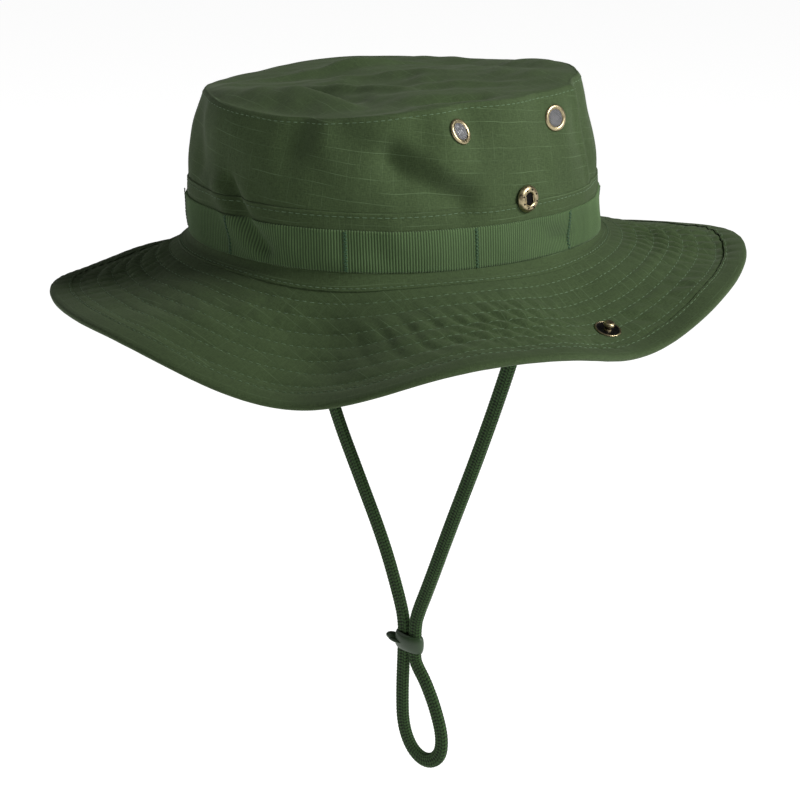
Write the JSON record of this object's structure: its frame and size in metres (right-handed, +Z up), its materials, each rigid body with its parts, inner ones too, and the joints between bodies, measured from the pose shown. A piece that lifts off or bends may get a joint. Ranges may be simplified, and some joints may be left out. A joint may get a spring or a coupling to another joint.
{
  "type": "boonie hat",
  "caption": "Wide-brimmed cloth boonie hat: ripstop crown and quilted brim, webbing band, screened vents, side snaps and a chin cord with a sliding lock.",
  "frame": {"origin": "centre of the head opening, in the plane where the crown meets the brim", "axes": "+Z up through the crown, -Y the front of the hat, +X the wearer's left"},
  "size_m": [0.301, 0.3337, 0.3523],
  "materials": {
    "ripstop": "matte olive green ripstop cotton",
    "binding": "matte olive green bias tape",
    "webbing": "ribbed olive green grosgrain",
    "thread": "green polyester thread",
    "sweatband": "soft cotton twill",
    "seam_tape": "soft cotton tape",
    "interlining": "matte stiffener felt",
    "brass": "antique brass",
    "dark_brass": "blackened brass",
    "screen": "fine woven wire screen",
    "cord": "flat braided dark olive cord",
    "slider": "satin dark olive plastic"
  },
  "bodies": {
    "hat": {"crown_side": "ripstop", "crown_top": "ripstop", "crown_seam_tape": "seam_tape", "hat_band": "ripstop", "webbing_band": "webbing", "webbing_bartacks": "thread", "sweatband": "sweatband", "brim_upper_ply": "ripstop", "brim_interlining": "interlining", "brim_lower_ply": "ripstop", "brim_binding": "binding", "vent_ring_left_front": "brass", "vent_washer_left_front": "brass", "vent_screen_left_front": "screen", "vent_ring_left_back": "brass", "vent_washer_left_back": "brass", "vent_screen_left_back": "screen", "snap_socket_left": "brass", "snap_socket_cap_left": "brass", "cord_tab_left": "ripstop", "vent_ring_right_front": "brass", "vent_washer_right_front": "brass", "vent_screen_right_front": "screen", "vent_ring_right_back": "brass", "vent_washer_right_back": "brass", "vent_screen_right_back": "screen", "snap_socket_right": "brass", "snap_socket_cap_right": "brass", "cord_tab_right": "ripstop"},
    "left_flap": {"left_flap_upper_ply": "ripstop", "left_flap_interlining": "interlining", "left_flap_lower_ply": "ripstop", "left_flap_binding": "binding", "snap_stud_left": "dark_brass", "snap_stud_cap_left": "dark_brass"},
    "right_flap": {"right_flap_upper_ply": "ripstop", "right_flap_interlining": "interlining", "right_flap_lower_ply": "ripstop", "right_flap_binding": "binding", "snap_stud_right": "dark_brass", "snap_stud_cap_right": "dark_brass"},
    "chin_cord": {"chin_cord": "cord"},
    "cord_slider": {"cord_slider": "slider"}
  },
  "joints": [
    {"name": "left_brim_fold", "type": "hinge", "parent": "hat", "child": "left_flap", "pos_m": [0.0975, 0, -0.003], "axis": [0.1736, -0.9848, 0], "range_deg": [0, 104]},
    {"name": "right_brim_fold", "type": "hinge", "parent": "hat", "child": "right_flap", "pos_m": [-0.0975, 0, -0.003], "axis": [0.1736, 0.9848, 0], "range_deg": [0, 104]},
    {"name": "chin_cord_swing", "type": "hinge", "parent": "hat", "child": "chin_cord", "pos_m": [0, 0.012, -0.001], "axis": [1, 0, 0], "range_deg": [-50, 50]},
    {"name": "cord_slider_travel", "type": "slide", "parent": "chin_cord", "child": "cord_slider", "axis": [0, 0, 1], "range_m": [-0.03, 0.11], "deforming": ["chin_cord"]}
  ]
}
